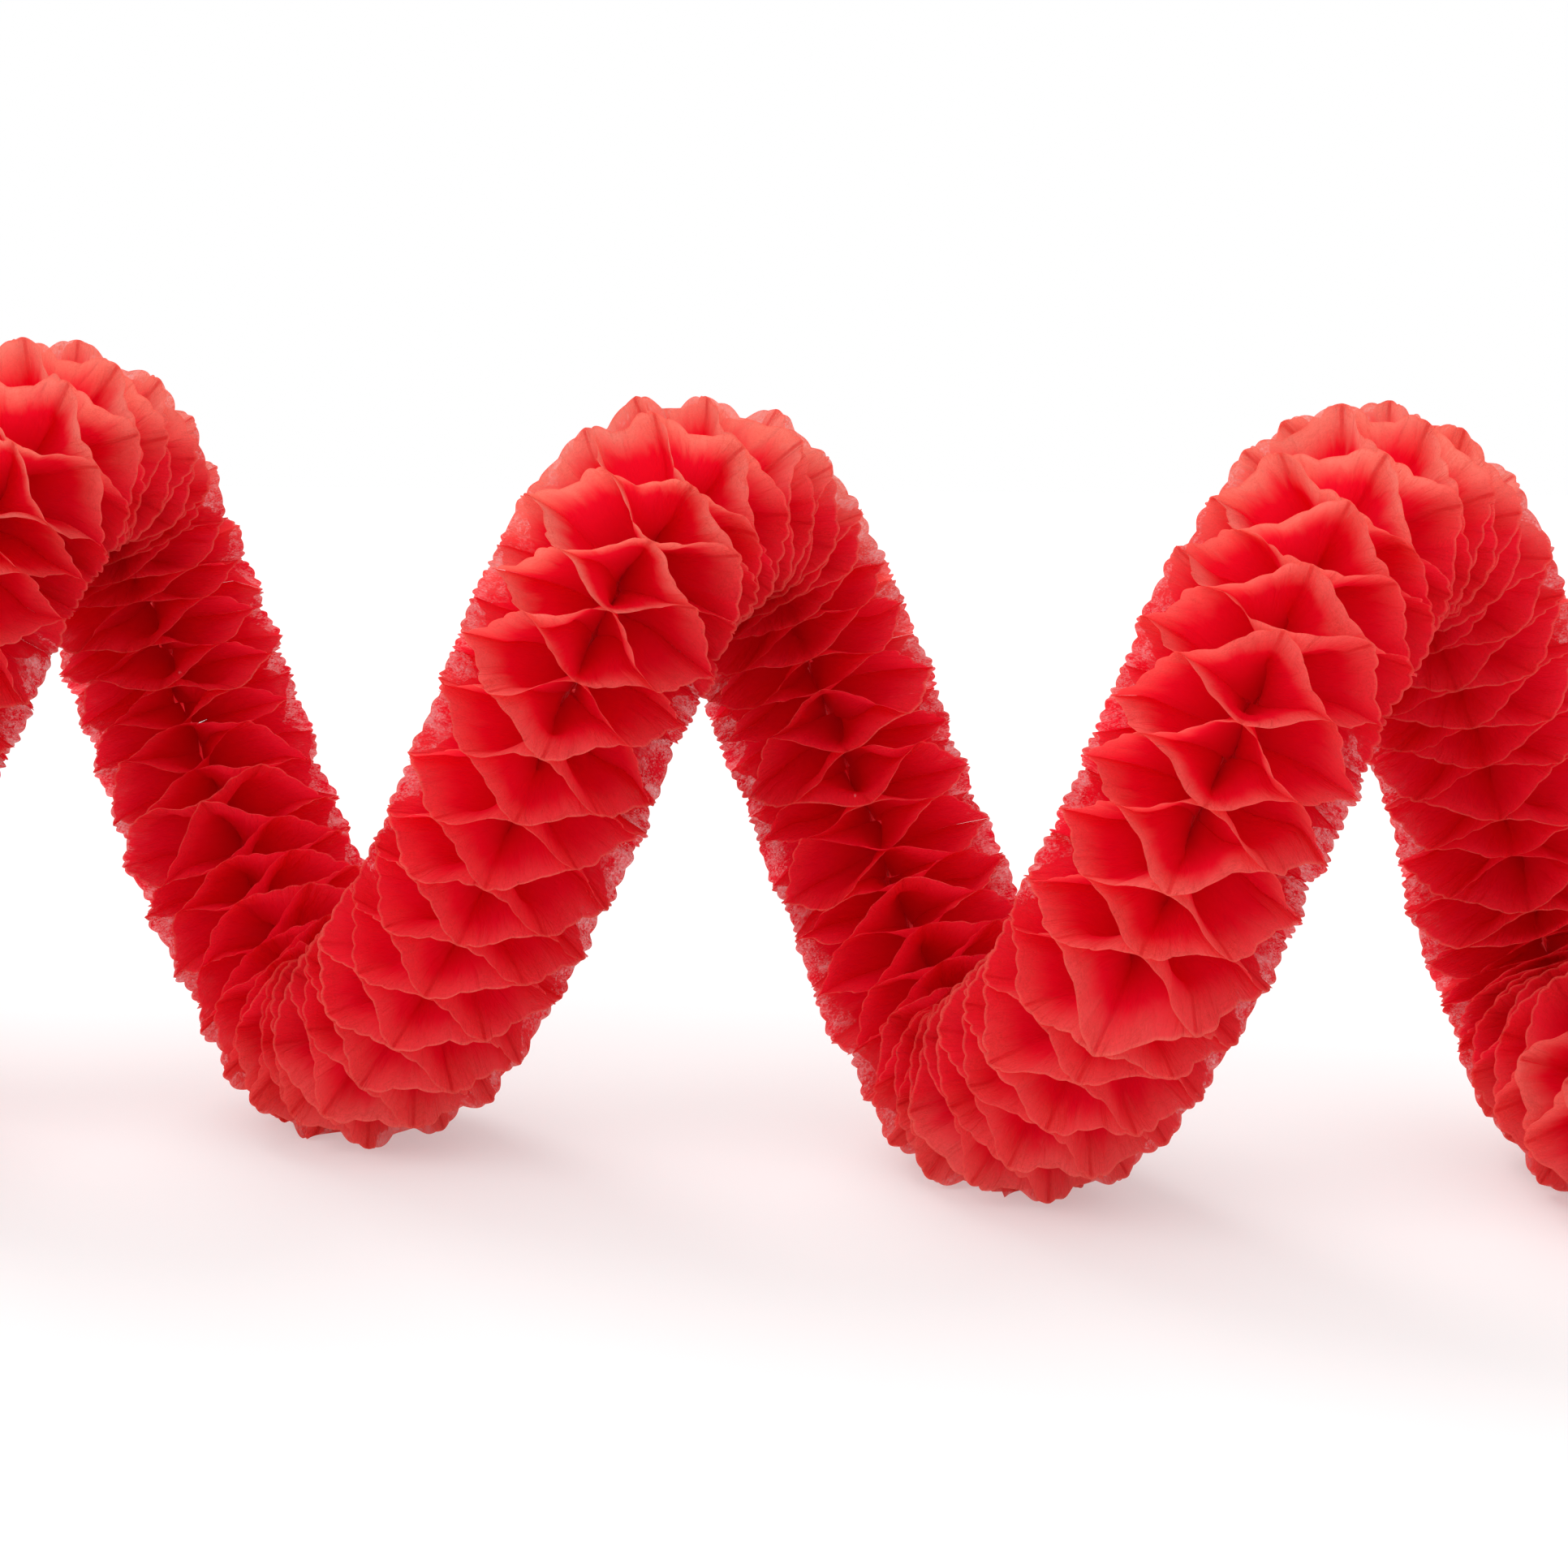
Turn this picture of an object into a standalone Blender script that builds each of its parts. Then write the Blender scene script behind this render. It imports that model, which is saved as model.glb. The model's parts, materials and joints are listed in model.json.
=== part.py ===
import math

import bpy
import numpy as np
from mathutils import Matrix, Vector

# A tissue paper garland. Round tissue sheets are glued one to the next along radial lines, taken alternately,
# so that the stack pulls out into rows of cells, and a card board closes each end. The garland stands on a
# table as an upright coil: its front limbs rise, its crests lead back, its back limbs come down and its
# troughs lead forward. Lengths are in metres. X runs along the coil, Z is up, and the front faces -Y.

# The stance: how far one wave runs along X, how deep it goes from front to back, and how high it climbs.
WAVE_LENGTH = 0.386
WAVE_DEPTH = 0.120
WAVE_HEIGHT = 0.318

# A tissue sheet: its radius at the middle of its scallops, its thickness at its centre, and how far a level
# sheet's rim hangs below its centre. The glue lines start at a share of the radius, where the paper has already
# turned a share of the way to its neighbour.
SHEET_RADIUS = 0.0685
SHEET_THICKNESS = 0.0006
SHEET_DROOP = 0.0065
GLUE_START_SHARE = 0.16
GLUE_START_REACH_SHARE = 0.90

# The glue lines: their number on a sheet, their width at the rim, and the clearance across them.
GLUE_LINES = 10
GLUE_WIDTH = 0.0045
GLUE_GAP = 0.0003

# The share of their spacing that sheets keep where a bend packs them, how far to each side the tightest bend
# counts, how much closer a bend draws the sheets along the middle line, as a share of what its outer side would
# stretch, and how far the garland's own weight presses up the paper that it stands on.
PACKED_SHARE = 0.20
PACKED_NEARBY = 0.010
CROWDING_SHARE = 0.50
FLOOR_PRESS = 0.0035

# The sheets are counted in glued sections of four.
SECTIONS = 49
SHEETS_IN_SECTION = 4

# The card board at each end.
BOARD_THICKNESS = 0.0015
BOARD_SIDES = 40

# The way that the garland's middle line takes from the left tail to the right one, as shares of the wave's
# length, depth and height. The even places from the third on are its bends, a trough and a crest in turn.
STANCE_SHARES = (
    (-2.35, 0.71, 0.00),
    (-2.17, 0.63, 0.00),
    (-2.00, 0.01, 0.00),
    (-1.74, -0.52, 0.26),
    (-1.46, -0.24, 0.99),
    (-1.37, 0.80, 0.80),
    (-0.99, 0.11, 0.00),
    (-0.61, -0.46, 0.55),
    (-0.44, -0.02, 0.96),
    (-0.27, 0.64, 0.71),
    (0.03, -0.05, 0.00),
    (0.31, -0.88, 0.47),
    (0.58, 0.04, 0.95),
    (0.85, 0.66, 0.27),
    (0.96, -0.09, 0.00),
    (1.13, -0.71, 0.00),
    (1.31, -0.80, 0.00),
)
FIRST_BEND = 2
SAMPLES_PER_SPAN = 80

# The sheets follow the bends without turning about the line, from a place where their first glue line faces the
# front, but for the slow twist that the garland has at some places.
FACING_PLACE = 7
TWIST_PLACES = (5.25, 7, 9.2, 11)
TWIST_DEGREES = (-1, 10, 18.5, 5)

# The bodies from left to right, with the bends between limbs and the stretch of each limb at its middle. They
# all hang together from the root body.
BODIES = (
    "left_tail",
    "limb_1_lower",
    "limb_1_upper",
    "limb_2_upper",
    "limb_2_lower",
    "limb_3_lower",
    "limb_3_upper",
    "limb_4_upper",
    "limb_4_lower",
    "limb_5_lower",
    "limb_5_upper",
    "limb_6_upper",
    "limb_6_lower",
    "right_tail",
)
ROOT = BODIES.index("limb_4_upper")

TISSUE_COLOUR = (0.66, 0.012, 0.018, 1.0)
TISSUE_ROUGHNESS = 0.62
CARD_COLOUR = (0.42, 0.010, 0.014, 1.0)
CARD_ROUGHNESS = 0.70


def unit(vectors):
    return vectors / np.linalg.norm(vectors, axis=-1, keepdims=True)


def spline(keys, per_span):
    """Points along the smooth cubic curve through the keys, which leaves and arrives along X."""
    count = len(keys)
    system = np.eye(count) * 4 + np.eye(count, k=1) + np.eye(count, k=-1)
    system[0, 0] = system[-1, -1] = 2
    steps = np.diff(keys, axis=0)
    along = np.array([1.0, 0.0, 0.0])
    turn = np.zeros_like(keys)
    turn[0] = 6 * steps[0] * (1 - along)
    turn[1:-1] = 6 * np.diff(steps, axis=0)
    turn[-1] = 6 * steps[-1] * (along - 1)
    bend = np.linalg.solve(system, turn)
    place = np.linspace(0, count - 1, (count - 1) * per_span + 1)
    span = np.minimum(place.astype(int), count - 2)
    t = (place - span)[:, None]
    low, high = bend[span], bend[span + 1]
    slope = steps[span] - (2 * low + high) / 6
    return keys[span] + t * (slope + t * (low / 2 + t * (high - low) / 6))


class MiddleLine:
    """The garland's middle line, read by the length along it from the left end."""

    def __init__(self):
        sizes = np.array([WAVE_LENGTH, WAVE_DEPTH, WAVE_HEIGHT])
        lift = np.array([0, 0, SHEET_RADIUS - FLOOR_PRESS])
        self.points = spline(np.array(STANCE_SHARES) * sizes, SAMPLES_PER_SPAN) + lift
        steps = np.linalg.norm(np.diff(self.points, axis=0), axis=1)
        self.lengths = np.concatenate([[0], np.cumsum(steps)])
        self.total = self.lengths[-1]
        self.heading = unit(np.gradient(self.points, self.lengths, axis=0))
        self.heading[[0, -1]] = (1, 0, 0)
        self.bend = np.gradient(self.heading, self.lengths, axis=0)
        crowd = 1 + CROWDING_SHARE * SHEET_RADIUS * np.linalg.norm(self.bend, axis=1)
        paper = np.cumsum((crowd[1:] + crowd[:-1]) / 2 * steps)
        self.sheets = np.concatenate([[0], paper / paper[-1]]) * SECTIONS * SHEETS_IN_SECTION
        self.side = self.carried_side()

    def carried_side(self):
        """The way to a sheet's first glue line: carried along both ways from the facing place, and twisted."""
        count = len(self.points)
        first = FACING_PLACE * SAMPLES_PER_SPAN
        side = np.tile(np.array([0.0, -1.0, 0.0]), (count, 1))
        for number in list(range(first, count)) + list(range(first))[::-1]:
            before = side[number - 1] if number > first else side[min(number + 1, first)]
            side[number] = unit(before - self.heading[number] * (self.heading[number] @ before))
        places = np.arange(count) / SAMPLES_PER_SPAN
        turn = np.radians(np.interp(places, TWIST_PLACES, TWIST_DEGREES))[:, None]
        return np.cos(turn) * side + np.sin(turn) * np.cross(self.heading, side)

    def read(self, table, at):
        columns = [np.interp(at, self.lengths, column) for column in table.T]
        return np.stack(columns, axis=-1)

    def point(self, at):
        return Vector(self.read(self.points, at))

    def direction(self, at):
        return Vector(unit(self.read(self.heading, at)))

    def inner_reach(self, at, inward):
        """The way from the line to the packed paper on the inner side of a bend."""
        inward = inward.normalized()
        curve = inward.dot(Vector(self.read(self.bend, at)))
        return inward * min(SHEET_RADIUS, (1 - PACKED_SHARE) / curve)

    def place(self, sheets):
        """The length along the line at which a number of sheets lie behind."""
        return np.interp(sheets, self.sheets, self.lengths)

    def section_start(self, section):
        return self.place(section * SHEETS_IN_SECTION)

    def surface(self, at, angle, reach, rise):
        """Points out from the line, turned by angle from the front and raised along the heading.

        Paper hangs down toward its rim, and stops short where a bend or the table leaves it no more room.
        """
        droop = SHEET_DROOP * (reach / SHEET_RADIUS) ** 1.6
        at = at - droop * self.read(self.heading, at)[:, 2]
        heading = unit(self.read(self.heading, at))
        side = unit(self.read(self.side, at))
        out = np.cos(angle)[:, None] * side + np.sin(angle)[:, None] * np.cross(heading, side)
        start = self.read(self.points, at) + heading * rise[:, None]
        least = (1 - PACKED_SHARE) / (2 * SHEET_RADIUS)
        nearby = [self.read(self.bend, at + way * PACKED_NEARBY) for way in (-1, 0, 1)]
        inward = np.maximum(np.sum(out * nearby, axis=2).max(axis=0), least)
        down = np.maximum(-out[:, 2] / start[:, 2], least)
        reach = np.minimum(reach, np.minimum((1 - PACKED_SHARE) / inward, 1 / down))
        points = start + out * reach[:, None]
        points[:, 2] = np.maximum(points[:, 2], 0)
        return points


def sheet_points(line, sheet):
    """A sheet's corners: its centre, a ring where its glue lines start, and a rim with two to each line.

    The rim is one sharp edge. The centre and the ring come a second time for the sheet's lower side.
    """
    turn = 2 * math.pi / GLUE_LINES
    number = np.arange(GLUE_LINES)
    half_width = GLUE_WIDTH / (2 * SHEET_RADIUS)
    rim_angle = (number[:, None] * turn + np.array([-half_width, half_width])).ravel()
    angle = np.concatenate([[0], number * turn, rim_angle])
    reach = np.repeat([0, GLUE_START_SHARE, 1], [1, GLUE_LINES, 2 * GLUE_LINES]) * SHEET_RADIUS
    toward = (-1.0) ** (number + sheet)
    toward = np.concatenate([[0], toward * GLUE_START_REACH_SHARE, np.repeat(toward, 2)])
    at = line.place(sheet + 0.5 + toward / 2)
    half = np.where(reach < SHEET_RADIUS, SHEET_THICKNESS / 2, 0)
    gap = toward * GLUE_GAP / 2
    upper = line.surface(at, angle, reach, half - gap)
    lower = line.surface(at, angle, reach, -half - gap)
    return np.concatenate([upper, lower[: GLUE_LINES + 1]])


def corner(sheet, ring, number, lower=False):
    """The index of a corner in a section. Ring 0 is a sheet's centre and ring 2 its rim."""
    first = (0, 1, 1 + GLUE_LINES)[ring]
    counted = (1, GLUE_LINES, 2 * GLUE_LINES)[ring]
    if lower and ring < 2:
        first += 1 + 3 * GLUE_LINES
    return sheet * (2 + 4 * GLUE_LINES) + first + number % counted


def glued_triangle(sheet, number, lower):
    ring = corner(sheet, 1, number, lower)
    return ring, corner(sheet, 2, 2 * number), corner(sheet, 2, 2 * number + 1)


def side_faces(sheet, lower, glued):
    """One side of a sheet, left open where it is glued."""
    faces = []
    for number in range(GLUE_LINES):
        here = corner(sheet, 1, number, lower)
        following = corner(sheet, 1, number + 1, lower)
        near = corner(sheet, 2, 2 * number + 1)
        far = corner(sheet, 2, 2 * number + 2)
        faces.append((corner(sheet, 0, 0, lower), here, following))
        faces.append((here, near, far))
        faces.append((here, far, following))
        if number not in glued:
            faces.append(glued_triangle(sheet, number, lower))
    return [face[::-1] for face in faces] if lower else faces


def glue_walls(sheet, number):
    """The walls round a glue line, from this sheet's upper side to the next one's lower side."""
    below = glued_triangle(sheet, number, False)
    above = glued_triangle(sheet + 1, number, True)
    return [(below[a], below[b], above[b], above[a]) for a, b in ((0, 1), (1, 2), (2, 0))]


def section_faces(section):
    """Sheets joined into one closed body: each meets the next on every other glue line."""
    faces = []
    for sheet in range(SHEETS_IN_SECTION):
        parity = (section * SHEETS_IN_SECTION + sheet) % 2
        above = range(parity, GLUE_LINES, 2) if sheet < SHEETS_IN_SECTION - 1 else ()
        below = range(1 - parity, GLUE_LINES, 2) if sheet else ()
        faces += side_faces(sheet, False, above) + side_faces(sheet, True, below)
        for number in above:
            faces += glue_walls(sheet, number)
    return faces


def tissue_section(line, section, tissue):
    first = section * SHEETS_IN_SECTION
    points = [sheet_points(line, first + sheet) for sheet in range(SHEETS_IN_SECTION)]
    origin = line.point(line.section_start(section + 0.5))
    mesh = bpy.data.meshes.new(f"tissue_section_{section + 1:02d}")
    mesh.from_pydata((np.concatenate(points) - np.array(origin)).tolist(), [], section_faces(section))
    mesh.materials.append(tissue)
    made = bpy.data.objects.new(mesh.name, mesh)
    made.location = origin
    return made


def end_board(name, line, at, way, card):
    """A card disc against the last sheet, facing along X and standing on its lowest side."""
    inner_radius = SHEET_RADIUS - FLOOR_PRESS
    radius = inner_radius / math.cos(math.pi / BOARD_SIDES)
    bpy.ops.mesh.primitive_cylinder_add(vertices=BOARD_SIDES, radius=radius, depth=BOARD_THICKNESS)
    board = bpy.context.object
    board.name = name
    board.data.materials.append(card)
    centre = line.point(at) + Vector((way, 0, 0)) * (GLUE_GAP + BOARD_THICKNESS) / 2
    facing = Matrix.Rotation(way * math.pi / 2, 4, "Y")
    side_down = Matrix.Rotation(math.pi / BOARD_SIDES, 4, "Z")
    board.matrix_world = Matrix.Translation(centre) @ facing @ side_down
    board.users_collection[0].objects.unlink(board)
    return board


def joint_sections(line):
    """The section that starts at each joint, from left to right: bends, and a stretch between each two."""
    keys = range(FIRST_BEND, len(STANCE_SHARES) - 1, 2)
    bends = [round(line.sheets[key * SAMPLES_PER_SPAN] / SHEETS_IN_SECTION) for key in keys]
    stretches = [round((here + there) / 2) for here, there in zip(bends, bends[1:])]
    return sorted(bends + stretches)


def joint_frame(line, number, section):
    """A joint's place, its X axis along the joint's own: forward opens a bend or stretches a limb.

    A bend turns about its inner corner, where the packed paper gives no more.
    """
    at = line.section_start(section)
    away = 1 if number >= ROOT else -1
    place, axis = line.point(at), line.direction(at) * away
    if number % 2 == 0:
        before = line.direction(line.section_start(section - 1))
        after = line.direction(line.section_start(section + 1))
        axis = after.cross(before).normalized() * away
        place += line.inner_reach(at, after - before)
    turned = axis.to_track_quat("X", "Z").to_matrix().to_4x4()
    return Matrix.Translation(place) @ turned


class Assembly:
    """The bodies: each is a group of pieces on an empty at its joint, and hangs on its parent's empty."""

    def __init__(self, line, collection):
        self.collection = collection
        self.starts = joint_sections(line)
        middle = line.point(line.section_start(self.starts[ROOT - 1]))
        self.frames = {BODIES[ROOT]: Matrix.Translation(middle)}
        self.pivots = {}
        self.add_pivot(BODIES[ROOT], None)
        for number in list(range(ROOT, len(self.starts))) + list(range(ROOT))[::-1]:
            parent, child = BODIES[number], BODIES[number + 1]
            if number < ROOT:
                parent, child = child, parent
            self.frames[child] = joint_frame(line, number, self.starts[number])
            self.add_pivot(child, parent)

    def add_pivot(self, body, parent):
        pivot = bpy.data.objects.new(f"{body}_pivot", None)
        pivot.empty_display_size = SHEET_RADIUS
        self.collection.objects.link(pivot)
        self.pivots[body] = pivot
        pivot.matrix_basis = self.frames[body]
        if parent:
            self.hang(pivot, parent)

    def hang(self, piece, body):
        """Parents a piece to a body without moving it."""
        piece.parent = self.pivots[body]
        piece.matrix_parent_inverse = self.frames[body].inverted()

    def body_of(self, section):
        return BODIES[sum(start <= section for start in self.starts)]

    def add(self, piece, body):
        self.collection.objects.link(piece)
        self.hang(piece, body)


def centre_line(line):
    """Moves the line so that the garland stands over the origin, halfway between its boards and its sides."""
    sheets = range(SECTIONS * SHEETS_IN_SECTION)
    across = np.concatenate([sheet_points(line, sheet)[:, 1] for sheet in sheets])
    middle = (line.points[0, 0] + line.points[-1, 0], across.min() + across.max(), 0)
    line.points -= np.array(middle) / 2


def material(name, colour, roughness):
    made = bpy.data.materials.new(name)
    made.use_nodes = True
    shader = made.node_tree.nodes["Principled BSDF"]
    shader.inputs["Base Color"].default_value = colour
    shader.inputs["Roughness"].default_value = roughness
    return made


def clear_scene():
    for old in list(bpy.data.objects):
        bpy.data.objects.remove(old, do_unlink=True)


def main():
    clear_scene()
    line = MiddleLine()
    centre_line(line)
    collection = bpy.data.collections.new("tissue_paper_garland")
    bpy.context.scene.collection.children.link(collection)
    garland = Assembly(line, collection)
    tissue = material("red_tissue", TISSUE_COLOUR, TISSUE_ROUGHNESS)
    card = material("red_card", CARD_COLOUR, CARD_ROUGHNESS)
    for section in range(SECTIONS):
        garland.add(tissue_section(line, section, tissue), garland.body_of(section))
    garland.add(end_board("end_board_left", line, 0, -1, card), BODIES[0])
    garland.add(end_board("end_board_right", line, line.total, 1, card), BODIES[-1])


main()
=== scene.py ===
import json
import math

import bpy
import numpy as np
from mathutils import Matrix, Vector

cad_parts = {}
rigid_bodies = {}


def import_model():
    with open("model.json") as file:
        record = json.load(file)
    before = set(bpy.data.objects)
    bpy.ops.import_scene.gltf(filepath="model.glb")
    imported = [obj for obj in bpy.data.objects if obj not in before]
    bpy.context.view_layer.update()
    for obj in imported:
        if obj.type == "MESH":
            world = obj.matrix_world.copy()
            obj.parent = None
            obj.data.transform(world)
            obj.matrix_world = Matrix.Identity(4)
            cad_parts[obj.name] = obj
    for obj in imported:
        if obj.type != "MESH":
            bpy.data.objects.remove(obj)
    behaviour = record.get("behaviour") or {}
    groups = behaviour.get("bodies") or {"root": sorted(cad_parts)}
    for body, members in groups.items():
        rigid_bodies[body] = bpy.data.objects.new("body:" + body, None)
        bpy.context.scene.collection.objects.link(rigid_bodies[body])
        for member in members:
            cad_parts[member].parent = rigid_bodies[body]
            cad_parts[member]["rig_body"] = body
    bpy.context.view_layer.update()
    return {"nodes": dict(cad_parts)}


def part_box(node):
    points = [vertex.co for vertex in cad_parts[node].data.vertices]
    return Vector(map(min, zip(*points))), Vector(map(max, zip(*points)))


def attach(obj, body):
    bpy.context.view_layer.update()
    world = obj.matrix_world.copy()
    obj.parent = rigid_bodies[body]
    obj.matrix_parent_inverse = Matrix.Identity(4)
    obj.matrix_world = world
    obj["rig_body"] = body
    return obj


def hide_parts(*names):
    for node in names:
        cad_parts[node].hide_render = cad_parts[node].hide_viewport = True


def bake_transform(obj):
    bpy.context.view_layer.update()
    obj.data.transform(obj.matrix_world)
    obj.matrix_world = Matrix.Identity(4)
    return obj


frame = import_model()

# A tissue paper garland that stands on a table as an upright coil. Every four glued sheets are one piece,
# and a card board closes each end. Lengths are in metres.

# The middle line

waveSet = {
    "length": 0.386,        # of one wave along X
    "depth": 0.120,         # from the middle line to its front and back
    "height": 0.318,        # from trough to crest
    "sheetRadius": 0.0685,
    "floorPress": 0.0035,   # how far the paper is pressed up by the table
    "samples": 80,          # points to a span
    "packed": 0.20,         # the share of its spacing that paper keeps inside a bend
    "nearby": 0.010,        # how far to each side the tightest bend counts for that
    "crowding": 0.50,       # how much closer a bend draws the sheets, as a share of its outer side's stretch
    "sheets": 196,
    "facing": 7,            # the place where a sheet's first glue line faces the front, before the twist
    "twist": [(5.25, -1.0), (7, 10.0), (9.2, 18.5), (11, 5.0)],   # places, and their twist in degrees
    "shares": [             # the places themselves, as shares of the wave's length, depth and height
        (-2.35, 0.71, 0.00), (-2.17, 0.63, 0.00), (-2.00, 0.01, 0.00), (-1.74, -0.52, 0.26),
        (-1.46, -0.24, 0.99), (-1.37, 0.80, 0.80), (-0.99, 0.11, 0.00), (-0.61, -0.46, 0.55),
        (-0.44, -0.02, 0.96), (-0.27, 0.64, 0.71), (0.03, -0.05, 0.00), (0.31, -0.88, 0.47),
        (0.58, 0.04, 0.95), (0.85, 0.66, 0.27), (0.96, -0.09, 0.00), (1.13, -0.71, 0.00),
        (1.31, -0.80, 0.00),
    ],
}


# Each vector over its own length.
def unit(v):
    return v / np.linalg.norm(v, axis=-1, keepdims=True)


# The cubic curve through the keys whose slope and bend run on from span to span: the bends at the keys solve
# (1, 4, 1) bend = 6 second differences. It leaves and arrives along X.
def spline(keys, perSpan):
    count = len(keys)
    system = np.eye(count) * 4 + np.eye(count, k=1) + np.eye(count, k=-1)
    system[0, 0] = system[-1, -1] = 2
    steps = np.diff(keys, axis=0)
    along = np.array([1.0, 0.0, 0.0])
    turn = np.zeros_like(keys)
    turn[0] = 6 * steps[0] * (1 - along)
    turn[1:-1] = 6 * np.diff(steps, axis=0)
    turn[-1] = 6 * steps[-1] * (along - 1)
    bend = np.linalg.solve(system, turn)
    place = np.linspace(0, count - 1, (count - 1) * perSpan + 1)
    span = np.minimum(place.astype(int), count - 2)
    t = (place - span)[:, None]
    low, high = bend[span], bend[span + 1]
    slope = steps[span] - (2 * low + high) / 6
    return keys[span] + t * (slope + t * (low / 2 + t * (high - low) / 6))


# The way to each sheet's first glue line. It is carried both ways from the facing place: each is the one
# before less its part along the heading, so that the sheets don't turn about the line. Then the twist turns
# it.
def carrySide(heading, s):
    count, first = len(heading), s["facing"] * s["samples"]
    front = np.array([0.0, -1.0, 0.0])
    side = np.tile(front, (count, 1))
    for number in list(range(first, count)) + list(range(first))[::-1]:
        before = side[number - 1] if number > first else side[min(number + 1, first)]
        side[number] = unit(before - heading[number] * (heading[number] @ before))
    turn = np.radians(np.interp(np.arange(count) / s["samples"], *zip(*s["twist"])))[:, None]
    return np.cos(turn) * side + np.sin(turn) * np.cross(heading, side)


# The line's points, lengths, headings and bends, each sheet's side, and how many sheets lie behind each
# point. It is moved so that it starts and ends at the middles of the two boards.
def makeLine(s):
    sizes = np.array([s["length"], s["depth"], s["height"]])
    points = spline(np.array(s["shares"]) * sizes, s["samples"])
    low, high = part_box("end_board_left")
    points[:, 0] -= (points[0, 0] + points[-1, 0]) / 2
    points[:, 1] += (low.y + high.y) / 2 - points[0, 1]
    points[:, 2] += s["sheetRadius"] - s["floorPress"]
    lengths = np.concatenate([[0], np.cumsum(np.linalg.norm(np.diff(points, axis=0), axis=1))])
    heading = unit(np.gradient(points, lengths, axis=0))
    heading[[0, -1]] = (1, 0, 0)
    bend = np.gradient(heading, lengths, axis=0)
    crowd = 1 + s["crowding"] * s["sheetRadius"] * np.linalg.norm(bend, axis=1)
    paper = np.cumsum((crowd[1:] + crowd[:-1]) / 2 * np.diff(lengths))
    return {
        "points": points,
        "lengths": lengths,
        "heading": heading,
        "bend": bend,
        "side": carrySide(heading, s),
        "sheets": np.concatenate([[0], paper / paper[-1]]) * s["sheets"],
    }


line = makeLine(waveSet)


# What the line has at given lengths along it, straight between its points.
def readLine(name, at):
    columns = [np.interp(at, line["lengths"], column) for column in line[name].T]
    return np.stack(columns, axis=-1)


# The length along the line at which a number of sheets lie behind.
def placeOf(sheets):
    return np.interp(sheets, line["sheets"], line["lengths"])


print("middle line:", round(float(line["lengths"][-1]), 4), "m")

# The tissue sheets

sheetSet = {
    "perPiece": 4,
    "glueLines": 10,
    "radius": 0.0698,        # to the tips of the scallops at a glue line
    "spreadReach": 0.0028,   # how much further the paper stands out where a bend spreads the sheets
    "spreadAt": 0.50,        # the stretch of a bend's outer side at which its sheets count as fully spread
    "paintedLightLeast": 0.3,        # the share of the painted light on spread paper that its lower sides get
    "paintedLightTilt": 0.4,         # added to how far a side faces up, so that level sides get the painted light too
    "padWidth": 0.0040,      # of a glue line at the rim
    "paperGap": 0.006,       # between two glued sheets, as a share of their spacing
    "rings": [0.0, 0.02, 0.036, 0.08, 0.17, 0.28, 0.40, 0.53, 0.66, 0.77, 0.86, 0.94, 1.0],
    "around": 320,
    "foldFrom": 0.036,       # the share of the radius by which the paper has folded up to its neighbour
    "droop": 0.0095,         # how far a level sheet's rim hangs below its middle
    "droopPower": 1.6,       # of the share of the radius
    "pull": 0.0026,          # how far the rim is pulled in between its glue lines
    "pullPower": 1.6,        # how closely that keeps to the middle between them
    "pullPitch": 0.0175,     # the sheets' spacing at which it is so far
    "pullApart": 4,          # the power of the spacing by which it grows
    "apartLimits": (0.2, 1.4),   # of a spacing, as a share of that one
    "poleShift": 0.0024,     # how far a sheet's folds miss its middle
    "poleReach": 0.25,       # the share of the radius within which they do
    "scallops": 40,
    "scallopDepth": 0.0017,
    "scallopWear": 0.60,     # how unevenly they are cut and bent
    "wearWaves": (3, 7),     # of that, round a sheet
    "wearStarts": 6,         # how far the waves may start round from sheet to sheet, in radians
    "facet": 0.62,           # how flat the paper lies between the creases of its glue lines
    "lean": 0.19,            # how far glued pads lean along the line, as a share of the spacing
    "buckle": 0.20,          # how far they bend out of line half way out
    "buckleReach": 0.65,     # the share of the radius where that ends
    "flap": 0.55,            # how far their tips are folded over beyond that
    "flapFrom": 0.76,        # the share of the radius from which tips fold
    "padJitter": 0.0013,     # how unevenly the pads reach out
    "padMost": 2,            # the most that chance makes of a pad's lean and reach, times their size
    "buckleMost": 1.7,       # and of its buckle
    "sway": [(0.0016, 0.085, 6), (0.0009, 0.038, 8)],   # size, wave and number of the slow waves
    "ripple": 0.00055,       # paper ripples between glue lines
    "rippleCounts": (9, 17, 26, 41),   # round a sheet
    "rippleSlant": 6,        # how far they turn from the middle to the rim at most, in radians
    "rippleFall": 0.6,       # how fast their size falls with their count
    "ripplePower": 1.5,      # of the share of the radius
    "rippleLimits": (0.7, 1.8),   # their least size, where the sheets are far apart, and their greatest
    "tableGap": 0.0004,      # between the table and the paper that lies on it
    "layerStep": 0.37,       # from one sheet's fibres to the next one's, in the noise
    "seed": 11,
}

tiny = 1e-3   # the least that a length is divided by


# A smooth field: the sum of sine waves in random directions, size / sqrt(number) each.
def swayField(points, layers, seed):
    random = np.random.default_rng(seed)
    moved = np.zeros_like(points)
    for size, wave, number in layers:
        ways = unit(random.normal(size=(number, 3))) * 2 * np.pi / wave
        pushes = unit(random.normal(size=(number, 3))) * size / math.sqrt(number)
        starts = random.uniform(0, 2 * np.pi, number)
        moved += np.sin(points @ ways.T + starts) @ pushes
    return moved


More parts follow.
